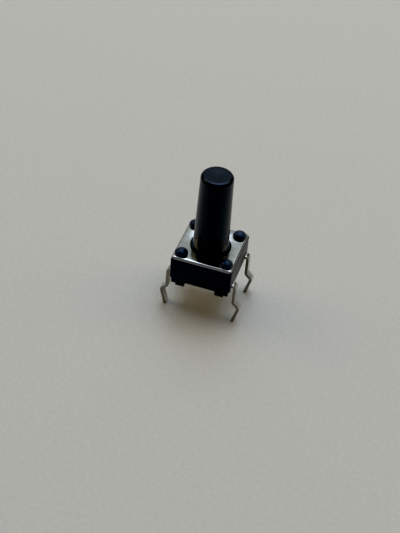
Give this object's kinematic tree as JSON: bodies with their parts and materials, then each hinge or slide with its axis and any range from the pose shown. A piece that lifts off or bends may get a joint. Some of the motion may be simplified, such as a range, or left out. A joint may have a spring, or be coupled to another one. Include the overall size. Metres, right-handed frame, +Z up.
{
  "type": "tactile push button switch",
  "caption": "Through-hole tactile push switch with a square black housing, staked steel cover, long round stem and kinked solder legs.",
  "frame": {"origin": "midway between the four leg tips, on the plane that the tips stand on", "axes": "+X along the front face towards the right-hand legs, +Y from the front to the back, +Z up along the stem"},
  "size_m": [0.0082, 0.006, 0.0153],
  "materials": {
    "housing_black": "fine-textured moulded thermoplastic, semi-matt",
    "plunger_black": "smooth moulded thermoplastic, satin",
    "cover_steel": "satin rolled stainless sheet with a bright rolled edge",
    "dome_steel": "bright spring stainless",
    "terminal_tin": "matt tin plate over brass strip"
  },
  "bodies": {
    "switch_body": {"base": "housing_black", "cover_plate": "cover_steel", "snap_dome": "dome_steel", "front_terminal": "terminal_tin", "rear_terminal": "terminal_tin"},
    "plunger": {"plunger": "plunger_black"}
  },
  "joints": [
    {"name": "press", "type": "slide", "parent": "switch_body", "child": "plunger", "axis": [0, 0, -1], "range_m": [0, 0.00025], "stiffness_N_per_m": 6400, "deforming": ["snap_dome"]}
  ]
}
